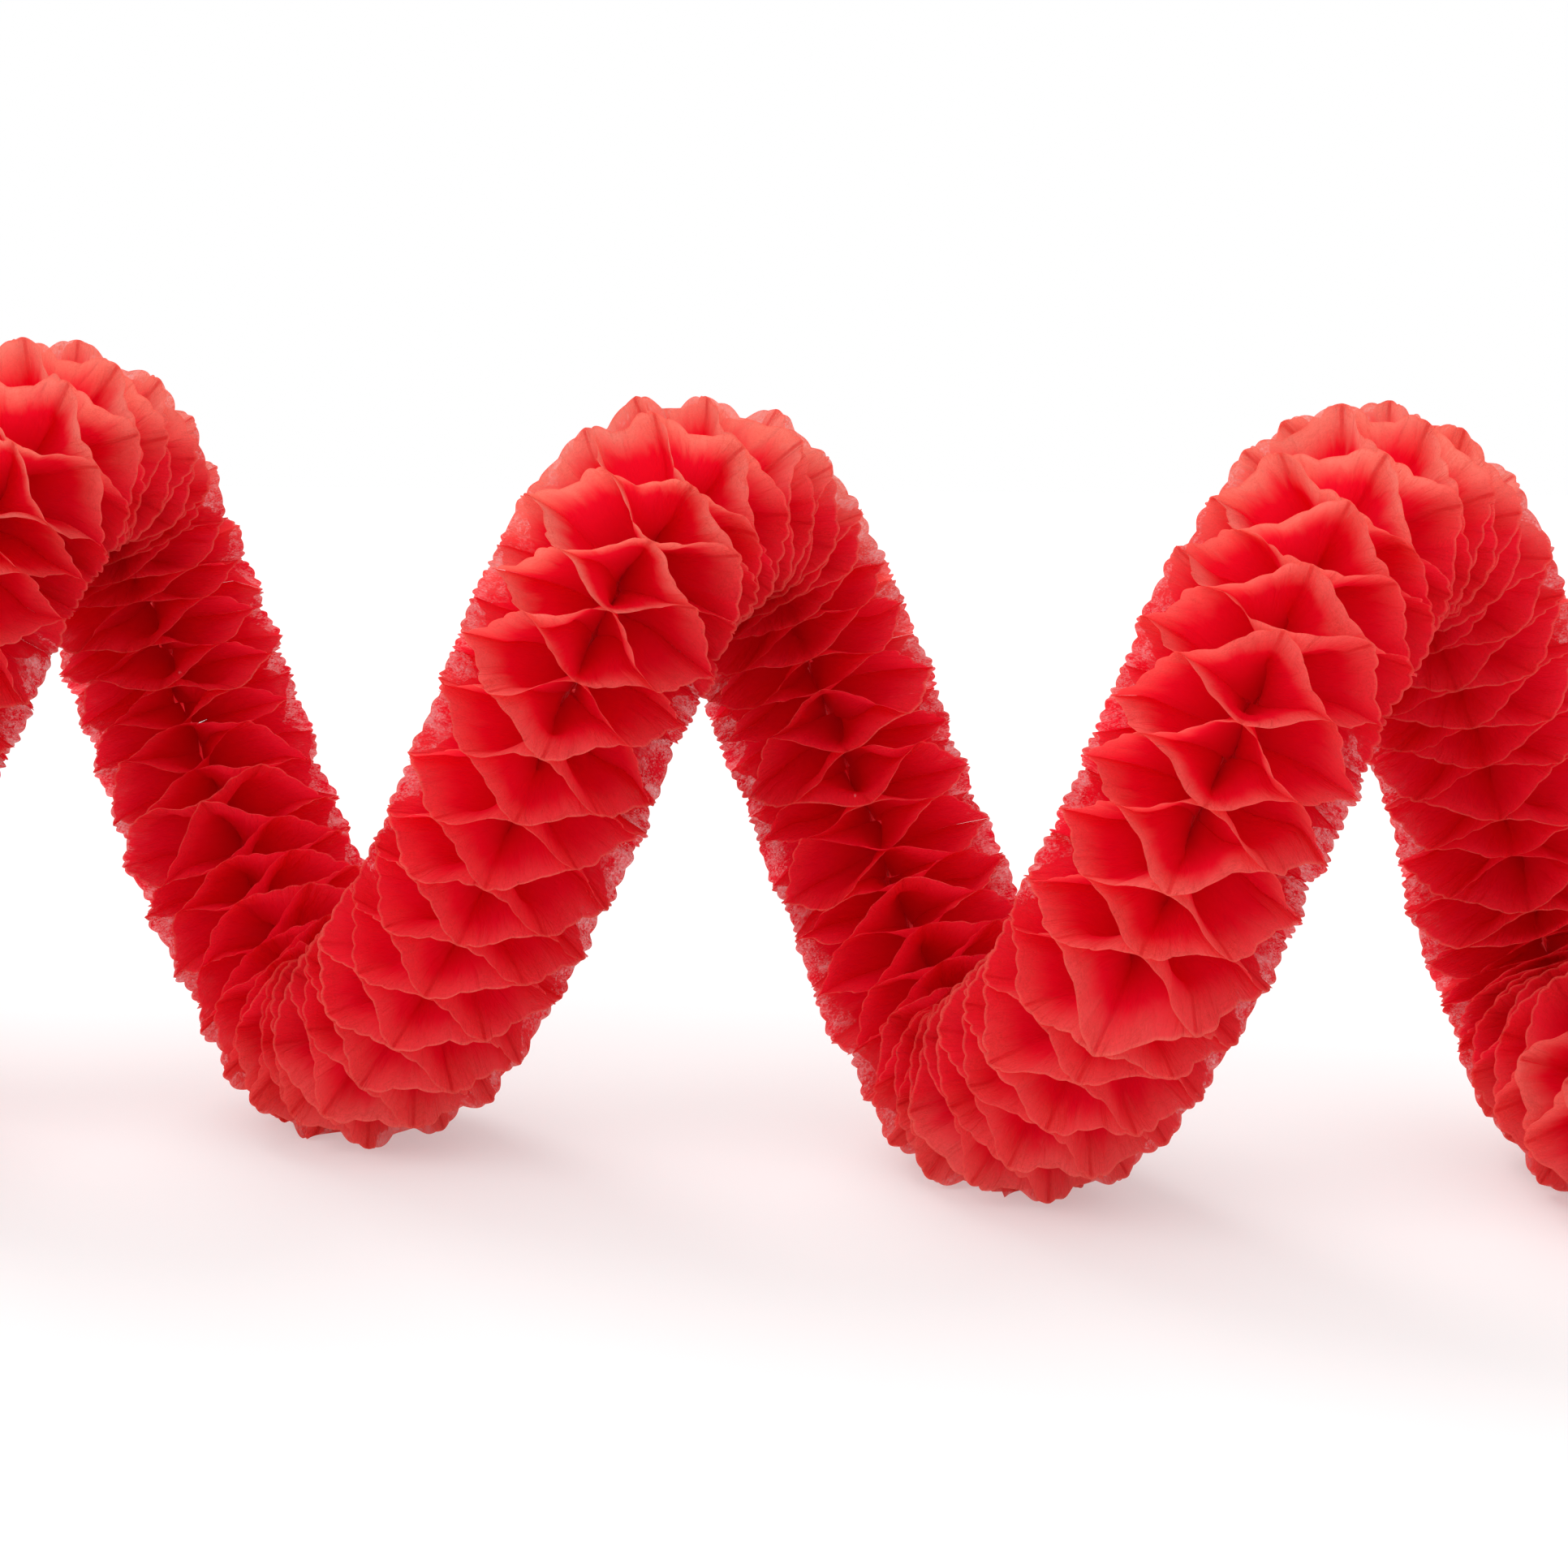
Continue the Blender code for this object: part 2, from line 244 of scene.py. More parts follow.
# How far a sheet has folded toward its neighbours round its middle, from -1 to 1. It mixes a sine of a
# cosine, which is flat at the glue lines, with straight runs between the lines' two edges.
def foldWave(angle, s):
    lines = s["glueLines"]
    turn = np.cos(angle * lines / 2)
    smooth = np.sin(np.pi / 2 * turn)
    half = s["padWidth"] / waveSet["sheetRadius"] * lines / 4
    ramp = 1 - 2 * np.arccos(np.clip(turn, -1, 1)) / np.pi
    straight = np.clip(ramp / (1 - 2 * half / np.pi), -1, 1)
    return smooth + s["facet"] * (straight - smooth)


# How much of its fold the paper has at a share of the radius: t t (3 - 2 t) up to foldFrom.
def foldGrowth(share, s):
    t = np.clip(share / s["foldFrom"], 0, 1)
    return t * t * (3 - 2 * t)


# How far the rim is pulled in: (1 - cos) / 2 to a power, from each glue line to the middle between it and
# the next one, more where the sheets are further apart. 1 - |cos| cuts the scallops, and sines wear them.
def rimPull(angle, apart, start, s):
    turn = 2 * np.pi / s["glueLines"]
    off = np.abs((angle + turn / 2) % turn - turn / 2)           # from the nearest glue line
    inward = ((1 - np.cos(2 * np.pi * off / turn)) / 2) ** s["pullPower"]
    pulled = inward * s["pull"] * apart ** s["pullApart"]
    few, many = s["wearWaves"]
    uneven = 1 + s["scallopWear"] * np.sin(few * angle + start) * np.sin(many * angle - 2 * start)
    return pulled + (1 - np.abs(np.cos(angle * s["scallops"] / 2))) * s["scallopDepth"] * uneven


# Ripples of one sheet: sines of its angle and radius, none at the glue lines.
def ripples(angle, share, free, random, s):
    made = np.zeros(np.broadcast(angle, share).shape)
    for number in s["rippleCounts"]:
        start = random.uniform(0, 2 * np.pi)
        slant = random.uniform(-s["rippleSlant"], s["rippleSlant"])
        size = (s["rippleCounts"][0] / number) ** s["rippleFall"]
        made = made + np.sin(number * angle + start + slant * share) * size
    return made * s["ripple"] * share ** s["ripplePower"] * free


# What each glued pad does by chance, from its glue line and the two sheets that it joins: its lean along
# the line, its buckle, the fold of its tip, and how far it reaches out.
def padChance(s):
    random = np.random.default_rng(s["seed"])
    shape = (waveSet["sheets"] + 1, s["glueLines"])
    most, buckleMost = s["padMost"], s["buckleMost"]
    return {
        "lean": random.normal(size=shape).clip(-most, most) * s["lean"],
        "buckle": random.normal(size=shape).clip(-buckleMost, buckleMost) * s["buckle"],
        "flap": random.uniform(-1, 1, shape) ** 3 * s["flap"],
        "reach": random.normal(size=shape).clip(-most, most) * s["padJitter"],
    }


pads = padChance(sheetSet)


# A sheet's own pads, read round it: straight runs from one glue line's value to the next one's.
def readPads(name, number, angle, s):
    count = s["glueLines"]
    lines = np.arange(count)
    joined = number + (1 + (-1) ** (number + lines)) // 2
    values = pads[name][joined, lines]
    return np.interp(angle, np.arange(count + 1) * 2 * np.pi / count, np.append(values, values[0]))


# The way out from the line at an angle: cos side + sin (heading x side).
def wayOut(angle, heading, side):
    return np.cos(angle)[..., None] * side + np.sin(angle)[..., None] * np.cross(heading, side)


# One sheet on a grid of rings and angles. Its fold, pads, ripples and droop move each point along the middle
# line, and it stands out from there by its share of the sheet's reach. The reach is less where a bend packs
# the paper, and it ends at the table.
def tissueSheet(number, s):
    random = np.random.default_rng(s["seed"] * 1000 + number)
    angle = np.arange(s["around"]) * 2 * np.pi / s["around"]
    angle, share = np.meshgrid(angle, s["rings"])
    sign = -1.0 if number % 2 else 1.0
    wave = foldWave(angle, s) * sign
    growth = foldGrowth(share, s)
    free = np.clip(1 - wave**2, 0, 1) * growth
    halfWay = np.sin(np.pi * np.clip(share / s["buckleReach"], 0, 1))
    tip = np.clip((share - s["flapFrom"]) / (1 - s["flapFrom"]), 0, 1)
    lean = readPads("lean", number, angle, s) * share
    lean = lean + readPads("buckle", number, angle, s) * halfWay
    lean = lean + readPads("flap", number, angle, s) * tip

    middle = placeOf(number + 0.5)
    pitch = placeOf(number + 1) - placeOf(number)
    across = wayOut(angle, readLine("heading", middle), readLine("side", middle))
    squeezed = waveSet["sheetRadius"] * (across @ readLine("bend", middle))
    apart = np.clip(pitch / s["pullPitch"] * (1 - squeezed), *s["apartLimits"])
    at = placeOf(number + 0.5 + growth * wave * (1 - s["paperGap"]) / 2 + lean)
    at = at + ripples(angle, share, free, random, s) * np.clip(2 - apart, *s["rippleLimits"])
    rise = readLine("heading", at)[..., 2]
    at = at - s["droop"] * rise * share ** s["droopPower"]
    start = readLine("points", at)
    out = wayOut(angle, unit(readLine("heading", at)), unit(readLine("side", at)))

    spreadAndPaintedLight = np.clip(-squeezed / s["spreadAt"], 0, 1)
    pulled = rimPull(angle, apart, random.uniform(0, s["wearStarts"]), s) * share**2
    full = s["radius"] + s["spreadReach"] * spreadAndPaintedLight - pulled + readPads("reach", number, angle, s) * share
    room = 1 - waveSet["packed"]
    nearby = [np.sum(out * readLine("bend", at + way * waveSet["nearby"]), axis=-1) for way in (-1, 0, 1)]
    full = np.minimum(full, room / np.maximum(np.max(nearby, axis=0), tiny))
    full = np.minimum(full, start[..., 2] / np.maximum(-out[..., 2], tiny))
    points = start + out * (full * share)[..., None]
    inner = np.clip(1 - share / s["poleReach"], 0, 1)[..., None] ** 2
    quarter = s["around"] // 4
    points = points + inner * (random.normal(size=2) * s["poleShift"] @ out[0, [0, quarter]])
    points = points + swayField(points, s["sway"], s["seed"])
    points[..., 2] = np.maximum(points[..., 2], s["tableGap"])

    between = np.pi / s["glueLines"]
    fromGlue = np.abs((angle + between) % (2 * between) - between) * share * s["radius"]
    # Painted light: paper that a bend spreads is painted paler, most where its side faces up toward the
    # lamps; the material reads this as an attribute.
    upward = np.clip(across[..., 2] + s["paintedLightTilt"], 0, 1)
    paintedLight = spreadAndPaintedLight * (s["paintedLightLeast"] + (1 - s["paintedLightLeast"]) * upward)
    return points, angle, share, paintedLight, fromGlue


# The faces of a grid of rings round a pole, which is one vertex.
def polarFaces(rings, around, first):
    here = np.arange(around)
    after = (here + 1) % around
    pole = np.stack([np.full(around, first), first + 1 + here, first + 1 + after], axis=1)
    ring = first + 1 + np.arange(rings - 2)[:, None] * around
    quads = np.stack([ring + here, ring + around + here, ring + around + after, ring + after], axis=2)
    return pole.tolist() + quads.reshape(-1, 4).tolist()


# A grid's values in the order of its vertices: one for the pole, then the rings.
def byVertex(grid):
    return np.concatenate([grid[:1, 0], grid[1:].reshape(-1, *grid.shape[2:])])


def addObject(name, data):
    made = bpy.data.objects.new(name, data)
    bpy.context.scene.collection.objects.link(made)
    return made


# Four glued sheets as one mesh. The material reads the flat sheet from the UV map. From the attributes it
# reads the sheet's layer in the noise, the painted light of spread, upward-facing paper, the way to the
# nearest glue line, and the place round it.
def tissuePiece(section, s, material):
    parts = {name: [] for name in ("points", "flat", "layer", "spreadAndPaintedLight", "fromGlue", "polar")}
    faces = []
    for place in range(s["perPiece"]):
        number = section * s["perPiece"] + place
        points, angle, share, paintedLight, fromGlue = tissueSheet(number, s)
        circle = np.stack([np.cos(angle), np.sin(angle)], axis=2)
        made = {
            "points": points,
            "flat": circle * share[..., None] * waveSet["sheetRadius"],
            "layer": np.full(angle.shape, number * s["layerStep"]),
            "spreadAndPaintedLight": paintedLight,
            "fromGlue": fromGlue,
            "polar": np.dstack([circle, share]),
        }
        faces += polarFaces(len(s["rings"]), s["around"], sum(len(block) for block in parts["points"]))
        for name, grid in made.items():
            parts[name].append(byVertex(grid))
    joined = {name: np.concatenate(blocks) for name, blocks in parts.items()}
    mesh = bpy.data.meshes.new(f"tissueSheets{section + 1:02d}")
    mesh.from_pydata(joined["points"].tolist(), [], faces)
    corners = np.empty(len(mesh.loops), np.int32)
    mesh.loops.foreach_get("vertex_index", corners)
    mesh.uv_layers.new(name="flatSheet").data.foreach_set("uv", joined["flat"][corners].ravel())
    for name in ("layer", "spreadAndPaintedLight", "fromGlue"):
        made = mesh.attributes.new(name, "FLOAT", "POINT")
        made.data.foreach_set("value", joined[name].astype(np.float32))
    made = mesh.attributes.new("polar", "FLOAT_VECTOR", "POINT")
    made.data.foreach_set("vector", joined["polar"].astype(np.float32).ravel())
    mesh.polygons.foreach_set("use_smooth", np.ones(len(mesh.polygons), bool))
    mesh.materials.append(material)
    return addObject(mesh.name, mesh)


# Materials

# A new node with its settings made, and its inputs given a value or linked to a socket.
def nodeIn(tree, kind, values=None, **settings):
    made = tree.nodes.new(kind)
    for name, value in settings.items():
        setattr(made, name, value)
    for name, value in (values or {}).items():
        if isinstance(value, bpy.types.NodeSocket):
            tree.links.new(value, made.inputs[name])
        else:
            made.inputs[name].default_value = value
    return made


def mathNode(tree, operation, *values):
    return nodeIn(tree, "ShaderNodeMath", dict(enumerate(values)), operation=operation).outputs[0]


# How far a value has come from one limit to the other, from 0 to 1.
def betweenLimits(tree, value, limits, **settings):
    values = {"Value": value, "From Min": limits[0], "From Max": limits[1]}
    return nodeIn(tree, "ShaderNodeMapRange", values, **settings).outputs[0]


def mixColour(tree, factor, first, second):
    made = nodeIn(tree, "ShaderNodeMix", data_type="RGBA")
    for place, value in ((0, factor), (6, first), (7, second)):   # the mixer's sockets for colours
        if isinstance(value, bpy.types.NodeSocket):
            tree.links.new(value, made.inputs[place])
        else:
            made.inputs[place].default_value = value
    return made.outputs[2]


def newGroup(name, inputs, outputs):
    tree = bpy.data.node_groups.new(name, "ShaderNodeTree")
    for socket in inputs:
        tree.interface.new_socket(socket, in_out="INPUT", socket_type="NodeSocketFloat")
    for socket in outputs:
        tree.interface.new_socket(socket, in_out="OUTPUT", socket_type="NodeSocketFloat")
    return tree, nodeIn(tree, "NodeGroupInput").outputs


paperSet = {
    "middleShadeColour": (0.88, 0.004, 0.034, 1.0),     # painted shade: darker near the middle, where little light gets in between the sheets
    "colour": (0.93, 0.006, 0.042, 1.0),         # half way out
    "outerLightColour": (0.95, 0.018, 0.044, 1.0),    # painted light: paler toward the rim, where light reaches and comes through the outer paper
    "spreadLightColour": (0.95, 0.385, 0.315, 1.0),   # painted light there, where a bend spreads the sheets and they face up toward the lamps
    "thinColour": (0.96, 0.240, 0.185, 1.0),     # where few fibres lie
    "thinShare": 0.70,
    "thinUnlit": 0.15,         # how much of that is left outside the painted light of spread sheets
    "gluedColour": (0.72, 0.010, 0.020, 1.0),    # where two sheets are glued to one another
    "gluedShare": 0.60,
    "gluedWidth": 0.0016,
    "gluedWhole": 3,            # the colour is whole within that width over this
    "rimHighlightColour": (0.97, 0.21, 0.165, 1.0),       # painted highlight along the cut edge
    "through": (0.95, 0.010, 0.040, 1.0),        # of the light that comes through
    "throughSpreadLight": (0.96, 0.200, 0.140, 1.0),  # painted light: the light through is paler there, where a bend spreads the sheets and they face up
    "translucent": 0.46,
    "roughness": 0.62,
    "shine": 0.04,
    "cloud": 75.0,              # cloudy patches to a metre
    "cloudNoise": (5.0, 0.62, 0.0),      # their detail, roughness and distortion
    "fibre": 620.0,             # fibres to a metre
    "fibreNoise": (3.0, 0.7, 1.2),
    "denseLimits": (0.72, 1.28),         # the sums of both noises from no fibres to the most
    "cover": 0.90,              # how much the paper covers on average
    "coverSpread": 0.70,        # how much that changes from few fibres to many
    "coverLimits": (0.2, 1.0),
    "fibreBump": (0.3, 0.0002),          # strength and depth
    "creases": 7.0,             # fine creases that run out from the middle
    "creaseNoise": (4.0, 0.55, 0.4),
    "creaseRun": 0.25,          # how much a crease changes along the radius
    "creasePower": 2.0,         # of the share of the radius, by which it deepens
    "creaseBump": (0.8, 0.0096),
    "rimLimits": (0.972, 0.998),         # shares of the radius where the painted highlight of the cut edge starts and is whole
    "outerLimits": (0.62, 0.98),         # where the painted light toward the rim starts and is whole
    "outerRagged": 0.4,         # how unevenly it does
    "halfLimits": (0.10, 0.55),          # where the colour half way out starts over the painted shade of the middle and is whole
}

noiseMean = 0.5


# A noise that differs from sheet to sheet. Its kind is its detail, roughness and distortion.
def sheetNoise(tree, place, scale, kind):
    layer = nodeIn(tree, "ShaderNodeAttribute", attribute_name="layer").outputs["Fac"]
    values = {"Vector": place, "W": layer, "Scale": scale}
    values.update(zip(("Detail", "Roughness", "Distortion"), kind))
    return nodeIn(tree, "ShaderNodeTexNoise", values, noise_dimensions="4D").outputs["Fac"]


# Fibre clouds: the sum of two noises on the flat sheet. Thin is high where few fibres lie.
def fibreGroup(s):
    inputs = ("Cloud Scale", "Fibre Scale", "Cover", "Spread")
    tree, given = newGroup("paperFibres", inputs, ("Thin", "Cover", "Height"))
    flat = nodeIn(tree, "ShaderNodeUVMap", uv_map="flatSheet").outputs["UV"]
    clouds = sheetNoise(tree, flat, given["Cloud Scale"], s["cloudNoise"])
    fibres = sheetNoise(tree, flat, given["Fibre Scale"], s["fibreNoise"])
    both = mathNode(tree, "ADD", clouds, fibres)
    dense = betweenLimits(tree, both, s["denseLimits"])
    offMean = mathNode(tree, "SUBTRACT", dense, noiseMean)
    cover = mathNode(tree, "MULTIPLY_ADD", offMean, given["Spread"], given["Cover"])
    least, most = s["coverLimits"]
    kept = nodeIn(tree, "ShaderNodeClamp", {"Value": cover, "Min": least, "Max": most}).outputs[0]
    thin = mathNode(tree, "SUBTRACT", 1.0, dense)
    nodeIn(tree, "NodeGroupOutput", {"Thin": thin, "Cover": kept, "Height": both})
    return tree


# Creases that run out from the sheet's middle: a noise read on a circle, and slowly along the radius. Half,
# Outer and Rim are how far a point has come into those parts of the sheet; they mask the painted shade of the
# middle, the painted light toward the rim and the painted highlight on the cut edge.
def creaseGroup(s):
    tree, given = newGroup("paperCreases", ("Number",), ("Height", "Half", "Outer", "Rim"))
    polar = nodeIn(tree, "ShaderNodeAttribute", attribute_name="polar").outputs["Vector"]
    parts = nodeIn(tree, "ShaderNodeSeparateXYZ", {"Vector": polar}).outputs
    share = parts[2]
    slow = mathNode(tree, "MULTIPLY", share, s["creaseRun"])
    spot = nodeIn(tree, "ShaderNodeCombineXYZ", {0: parts[0], 1: parts[1], 2: slow}).outputs[0]
    noise = sheetNoise(tree, spot, given["Number"], s["creaseNoise"])
    offMean = mathNode(tree, "SUBTRACT", noise, noiseMean)
    fold = mathNode(tree, "ABSOLUTE", offMean)
    height = mathNode(tree, "MULTIPLY", fold, mathNode(tree, "POWER", share, s["creasePower"]))
    ragged = mathNode(tree, "ADD", share, mathNode(tree, "MULTIPLY", offMean, s["outerRagged"]))
    outer = betweenLimits(tree, ragged, s["outerLimits"], interpolation_type="SMOOTHSTEP")
    half = betweenLimits(tree, share, s["halfLimits"])
    rim = betweenLimits(tree, share, s["rimLimits"])
    nodeIn(tree, "NodeGroupOutput", {"Height": height, "Half": half, "Outer": outer, "Rim": rim})
    return tree


# The tissue: its colour from the middle to the rim, with painted shade in the middle and painted light toward
# the rim and on spread sheets, then thin places and the glue lines over that, and a painted highlight on the
# cut edge last. Nearly half of its shading is light that comes through.
def paperMaterial(s):
    made = bpy.data.materials.new("tissuePaper")
    made.use_nodes = True
    tree = made.node_tree
    tree.nodes.clear()
    fibres = nodeIn(tree, "ShaderNodeGroup", {
        "Cloud Scale": s["cloud"], "Fibre Scale": s["fibre"], "Cover": s["cover"], "Spread": s["coverSpread"],
    }, node_tree=fibreGroup(s)).outputs
    creases = nodeIn(tree, "ShaderNodeGroup", {"Number": s["creases"]}, node_tree=creaseGroup(s)).outputs
    outer = creases["Outer"]
    spreadAndPaintedLight = nodeIn(tree, "ShaderNodeAttribute", attribute_name="spreadAndPaintedLight").outputs["Fac"]
    # Painted shade: the colour darkens from half way out toward the middle of each sheet.
    inner = mixColour(tree, creases["Half"], s["middleShadeColour"], s["colour"])
    # Painted light: toward the rim the paper is painted paler, as if light comes in and through its outer
    # layers.
    paintedLightAndShade = mixColour(tree, outer, inner, mixColour(tree, spreadAndPaintedLight, s["outerLightColour"], s["spreadLightColour"]))
    # Painted light: the light through the paper is painted paler toward the rim of spread, upward-facing
    # sheets.
    lit = mixColour(tree, mathNode(tree, "MULTIPLY", spreadAndPaintedLight, outer), s["through"], s["throughSpreadLight"])
    # Thin places, where few fibres lie, are the paper's own mottling, but they show only within the painted
    # light toward the rim, and mostly within the painted light of spread sheets.
    kept = mathNode(tree, "MULTIPLY_ADD", spreadAndPaintedLight, 1 - s["thinUnlit"], s["thinUnlit"])
    thin = mathNode(tree, "MULTIPLY", fibres["Thin"], s["thinShare"])
    thin = mathNode(tree, "MULTIPLY", thin, outer)
    thin = mathNode(tree, "MULTIPLY", thin, kept)
    away = nodeIn(tree, "ShaderNodeAttribute", attribute_name="fromGlue").outputs["Fac"]
    glued = nodeIn(tree, "ShaderNodeMapRange", {
        "Value": away, "From Min": s["gluedWidth"] / s["gluedWhole"], "From Max": s["gluedWidth"],
        "To Min": s["gluedShare"], "To Max": 0.0,
    }, interpolation_type="SMOOTHSTEP").outputs[0]
    uneven = mixColour(tree, thin, paintedLightAndShade, s["thinColour"])
    plain = mixColour(tree, mathNode(tree, "MULTIPLY", glued, outer), uneven, s["gluedColour"])
    # Painted highlight: the last of the radius to the cut edge is painted paler, as if light glanced off it.
    colour = mixColour(tree, creases["Rim"], plain, s["rimHighlightColour"])
    bare = mathNode(tree, "MULTIPLY", mathNode(tree, "SUBTRACT", 1.0, fibres["Cover"]), outer)
    cover = mathNode(tree, "SUBTRACT", 1.0, bare)
    strength, depth = s["fibreBump"]
    fine = nodeIn(tree, "ShaderNodeBump", {
        "Height": fibres["Height"], "Strength": strength, "Distance": depth,
    }).outputs[0]
    strength, depth = s["creaseBump"]
    bump = nodeIn(tree, "ShaderNodeBump", {
        "Height": creases["Height"], "Strength": strength, "Distance": depth, "Normal": fine,
    }).outputs[0]
    paper = nodeIn(tree, "ShaderNodeBsdfPrincipled", {
        "Base Color": colour, "Roughness": s["roughness"], "Specular IOR Level": s["shine"],
        "Normal": bump, "Alpha": cover,
    }).outputs[0]
    glow = nodeIn(tree, "ShaderNodeBsdfTranslucent", {"Color": lit, "Normal": bump}).outputs[0]
    mixed = nodeIn(tree, "ShaderNodeMixShader", {"Fac": s["translucent"], 1: paper, 2: glow}).outputs[0]
    nodeIn(tree, "ShaderNodeOutputMaterial", {"Surface": mixed})
    return made


paper = paperMaterial(paperSet)
print("tissue material: ready")

# The sheets put in place


def bodyOf(section):
    return frame["nodes"][f"tissue_section_{section + 1:02d}"]["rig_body"]


sections = waveSet["sheets"] // sheetSet["perPiece"]
for section in range(sections):
    piece = tissuePiece(section, sheetSet, paper)
    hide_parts(f"tissue_section_{section + 1:02d}")
    here = bodyOf(section)
    before = bodyOf(max(section - 1, 0))
    after = bodyOf(min(section + 1, sections - 1))
    if before == here == after:
        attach(piece, here)
        continue
    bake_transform(piece)
print("tissue pieces:", sections)

# The end boards

boardSet = {
    "colour": (0.50, 0.016, 0.016, 1.0),
    "speckColour": (0.62, 0.10, 0.07, 1.0),
    "specks": (900.0, 4.0),       # to a metre, and their detail
    "clouds": (60.0, 3.0),
    "shadeLimits": (0.15, 0.38),  # the products of both noises from no specks to the most
    "roughness": 0.72,
    "bump": (0.2, 0.0002),        # strength and depth
    "round": 0.0003,
    "sides": 128,
}


# Red card with fine specks: the product of two noises.
def cardMaterial(s):
    made = bpy.data.materials.new("redCard")
    made.use_nodes = True
    tree = made.node_tree
    surface = tree.nodes["Principled BSDF"]
    place = nodeIn(tree, "ShaderNodeTexCoord").outputs["Object"]
    specks, clouds = [
        nodeIn(tree, "ShaderNodeTexNoise", {"Vector": place, "Scale": scale, "Detail": detail}).outputs["Fac"]
        for scale, detail in (s["specks"], s["clouds"])
    ]
    shade = betweenLimits(tree, mathNode(tree, "MULTIPLY", specks, clouds), s["shadeLimits"])
    colour = mixColour(tree, shade, s["colour"], s["speckColour"])
    strength, depth = s["bump"]
    bump = nodeIn(tree, "ShaderNodeBump", {"Height": specks, "Strength": strength, "Distance": depth})
    tree.links.new(colour, surface.inputs["Base Color"])
    tree.links.new(bump.outputs[0], surface.inputs["Normal"])
    surface.inputs["Roughness"].default_value = s["roughness"]
    return made


# A disc turned about X: a profile of radius and place, carried round.
def boardPiece(node, card, s):
    low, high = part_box(node)
    centre = (low + high) / 2
    radius, half, soft = (high.z - low.z) / 2, (high.x - low.x) / 2, s["round"]
    profile = [(0.0, half), (radius / 2, half), (radius - soft, half), (radius, half - soft),
               (radius, soft - half), (radius - soft, -half), (radius / 2, -half), (0.0, -half)]
    reach, along = np.array(profile[1:-1]).T
    angle = np.arange(s["sides"]) * 2 * np.pi / s["sides"]
    ring = np.stack(np.broadcast_arrays(
        along[:, None], np.cos(angle) * reach[:, None], np.sin(angle) * reach[:, None]), axis=2)
    points = np.concatenate([[[half, 0, 0]], ring.reshape(-1, 3), [[-half, 0, 0]]]) + np.array(centre)
    faces = polarFaces(len(reach) + 1, s["sides"], 0)
    last = len(points) - 1
    here = np.arange(s["sides"]) + last - s["sides"]
    faces += np.stack([here, np.full(s["sides"], last), np.roll(here, -1)], axis=1).tolist()
    mesh = bpy.data.meshes.new(node.replace("end_board", "cardBoard"))
    mesh.from_pydata(points.tolist(), [], faces)
    mesh.materials.append(card)
    piece = addObject(mesh.name, mesh)
    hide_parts(node)
    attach(piece, frame["nodes"][node]["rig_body"])


card = cardMaterial(boardSet)
for node in ("end_board_left", "end_board_right"):
    boardPiece(node, card, boardSet)
print("end boards: 2")

# The table, the light and the camera

studioSet = {
    "floorColour": (0.97, 0.97, 0.97, 1.0),
    "floorReach": 8,              # from the middle to each side
    "floorGlow": 0.38,            # the share of the table's own white that the camera sees
    "worldLight": 0.60,
    "lamps": [                    # place, width in degrees, and power
        ("keyLamp", (-1.5, 1.3, 2.3), 30.0, 1.00),
        ("topLamp", (-0.2, -0.3, 2.5), 100.0, 0.78),
        ("frontLamp", (-1.9, -1.6, 1.9), 45.0, 0.75),
    ],
    "cameraPlace": (0.2697, -1.2327, 0.449),
    "cameraWay": (-0.137, 0.974, -0.179),
    "cameraSees": (0.05, 50.0),   # from how near to how far
    "lens": 50.683,
}


# How much a ray sees of the plain white background: 1 for camera, mirror and glass rays.
def plainRays(tree):
    rays = nodeIn(tree, "ShaderNodeLightPath").outputs
    direct = mathNode(tree, "MAXIMUM", rays["Is Camera Ray"], rays["Is Glossy Ray"])
    return mathNode(tree, "MAXIMUM", direct, rays["Is Transmission Ray"])


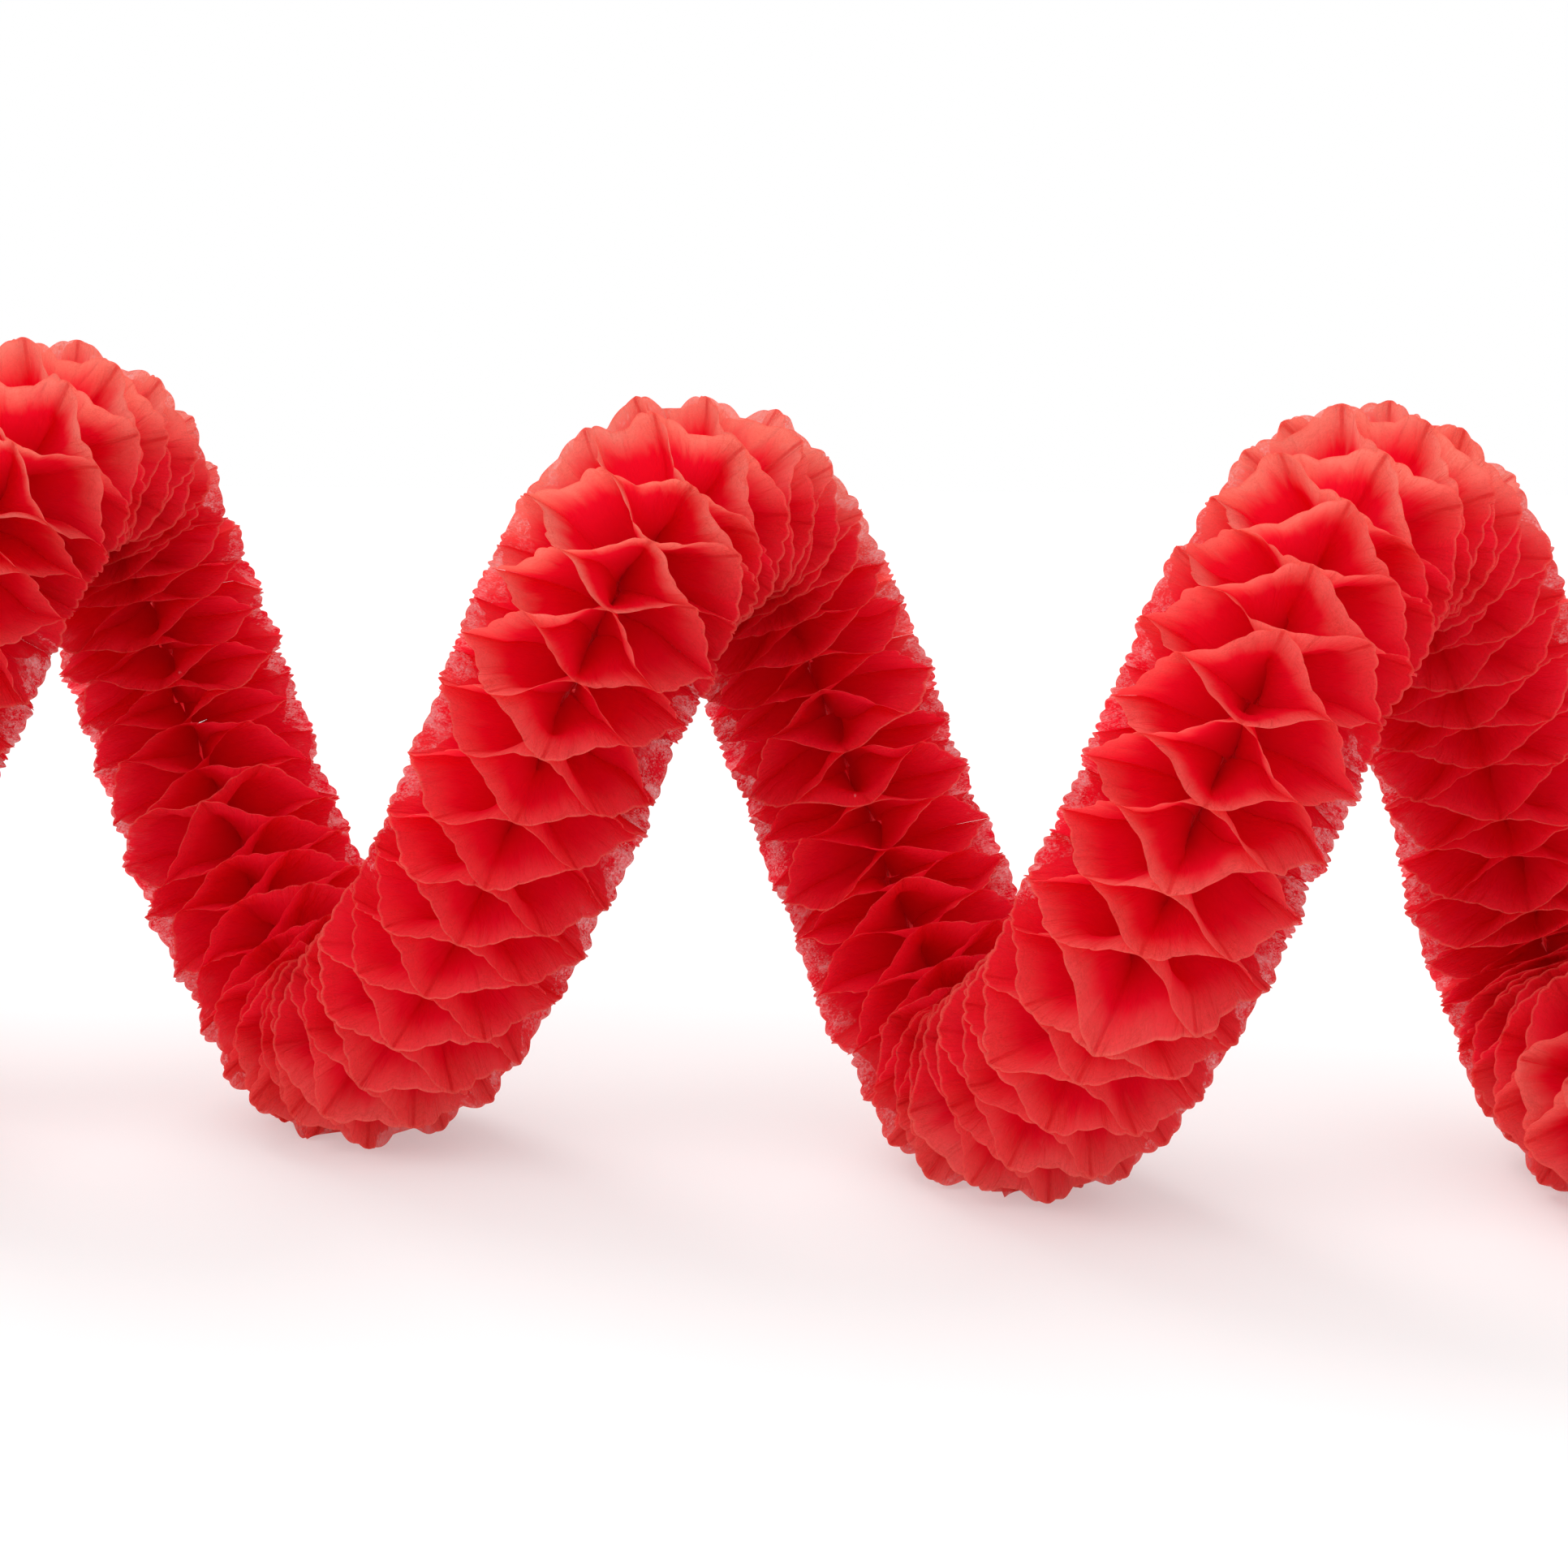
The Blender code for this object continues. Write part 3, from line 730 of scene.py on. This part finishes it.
# A white table and a white world, both whiter to plain rays than the light that they give.
def makeStudio(s):
    reach = s["floorReach"]
    mesh = bpy.data.meshes.new("tableTop")
    corners = [(-reach, -reach, 0), (reach, -reach, 0), (reach, reach, 0), (-reach, reach, 0)]
    mesh.from_pydata(corners, [], [(0, 1, 2, 3)])
    table = addObject("tableTop", mesh)
    white = bpy.data.materials.new("whiteTable")
    white.use_nodes = True
    tree = white.node_tree
    tree.nodes.clear()
    plain = nodeIn(tree, "ShaderNodeBsdfDiffuse", {"Color": s["floorColour"]}).outputs[0]
    glow = nodeIn(tree, "ShaderNodeEmission", {"Color": (1, 1, 1, 1), "Strength": 1.0}).outputs[0]
    share = mathNode(tree, "MULTIPLY", plainRays(tree), s["floorGlow"])
    mixed = nodeIn(tree, "ShaderNodeMixShader", {"Fac": share, 1: plain, 2: glow}).outputs[0]
    nodeIn(tree, "ShaderNodeOutputMaterial", {"Surface": mixed})
    mesh.materials.append(white)
    world = bpy.data.worlds.new("studioWorld")
    bpy.context.scene.world = world
    world.use_nodes = True
    tree = world.node_tree
    tree.nodes.clear()
    strength = nodeIn(tree, "ShaderNodeMapRange", {
        "Value": plainRays(tree), "To Min": s["worldLight"], "To Max": 1.0,
    }).outputs[0]
    sky = nodeIn(tree, "ShaderNodeBackground", {"Color": (1, 1, 1, 1), "Strength": strength}).outputs[0]
    nodeIn(tree, "ShaderNodeOutputWorld", {"Surface": sky})
    for name, place, width, power in s["lamps"]:
        data = bpy.data.lights.new(name, "SUN")
        data.angle, data.energy = math.radians(width), power
        lamp = addObject(name, data)
        lamp.location = place
        lamp.rotation_euler = (-Vector(place)).to_track_quat("-Z", "Y").to_euler()
    data = bpy.data.cameras.new("photoCamera")
    data.lens = s["lens"]
    data.clip_start, data.clip_end = s["cameraSees"]
    camera = addObject("photoCamera", data)
    camera.location = s["cameraPlace"]
    camera.rotation_euler = Vector(s["cameraWay"]).to_track_quat("-Z", "Y").to_euler()
    bpy.context.scene.camera = camera
    bpy.context.scene.view_settings.view_transform = "Standard"


makeStudio(studioSet)
print("studio: table, world, lamps and camera")

bpy.context.view_layer.update()
